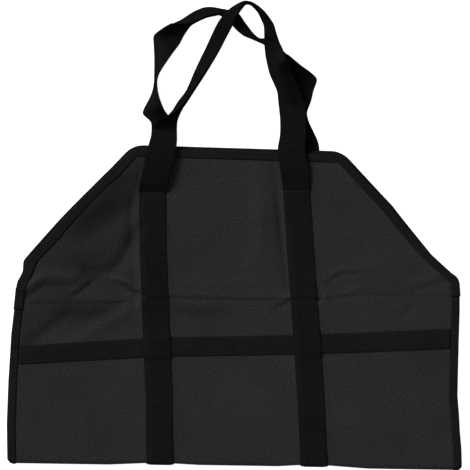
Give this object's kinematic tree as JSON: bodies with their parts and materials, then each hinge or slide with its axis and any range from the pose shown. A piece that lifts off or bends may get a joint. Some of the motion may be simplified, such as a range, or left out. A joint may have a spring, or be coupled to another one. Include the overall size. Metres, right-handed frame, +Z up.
{
  "type": "firewood carrier bag",
  "caption": "Black cloth log carrier, folded in half and lying flat, with edge tape, webbing straps round it and webbing handles.",
  "frame": {"origin": "middle of the footprint, on the surface that the carrier lies on", "axes": "+Z up from the surface, +Y from the bottom fold to the handles, +X across the carrier to the right as seen from above"},
  "size_m": [0.6042, 0.6204, 0.0441],
  "materials": {
    "cloth": "coated polyester plain weave, matte",
    "webbing": "woven polypropylene webbing, dull sheen",
    "cross_webbing": "narrow woven polypropylene webbing",
    "edge_tape": "folded grosgrain edge tape, stitched"
  },
  "bodies": {
    "root": {"body_sheet": "cloth", "strap_left": "webbing", "strap_right": "webbing", "cross_strap_front": "cross_webbing", "cross_strap_back": "cross_webbing", "top_tape_front": "edge_tape", "top_tape_back": "edge_tape", "side_tape_left": "edge_tape", "side_tape_right": "edge_tape", "handle_front": "webbing", "handle_back": "webbing"}
  },
  "joints": []
}
